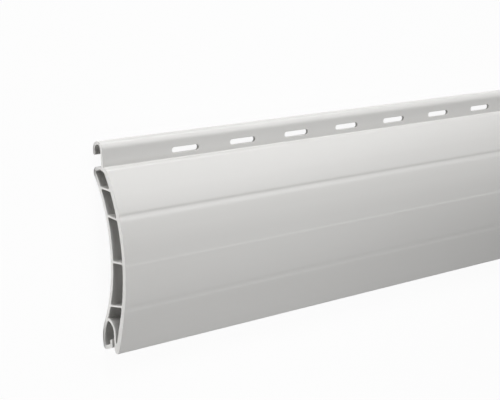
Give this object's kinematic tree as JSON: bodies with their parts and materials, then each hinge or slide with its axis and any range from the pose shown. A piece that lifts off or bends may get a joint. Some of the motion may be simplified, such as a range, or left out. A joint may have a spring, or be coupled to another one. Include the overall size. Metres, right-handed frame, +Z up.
{
  "type": "roller shutter slat",
  "caption": "Hollow-chamber plastic roller shutter slat with a bowed face, a slotted tongue with a hook on one edge and a receiver channel on the other.",
  "frame": {"origin": "middle of the slat's length and width, on the floor that its hollow back lies on", "axes": "+X along the slat, +Y across it towards the hook, +Z up out of the bowed front face"},
  "size_m": [1, 0.0592, 0.014],
  "materials": {
    "slat_plastic": "satin extruded rigid PVC, light grey, sawn ends"
  },
  "bodies": {
    "root": {"slat": "slat_plastic"}
  },
  "joints": []
}
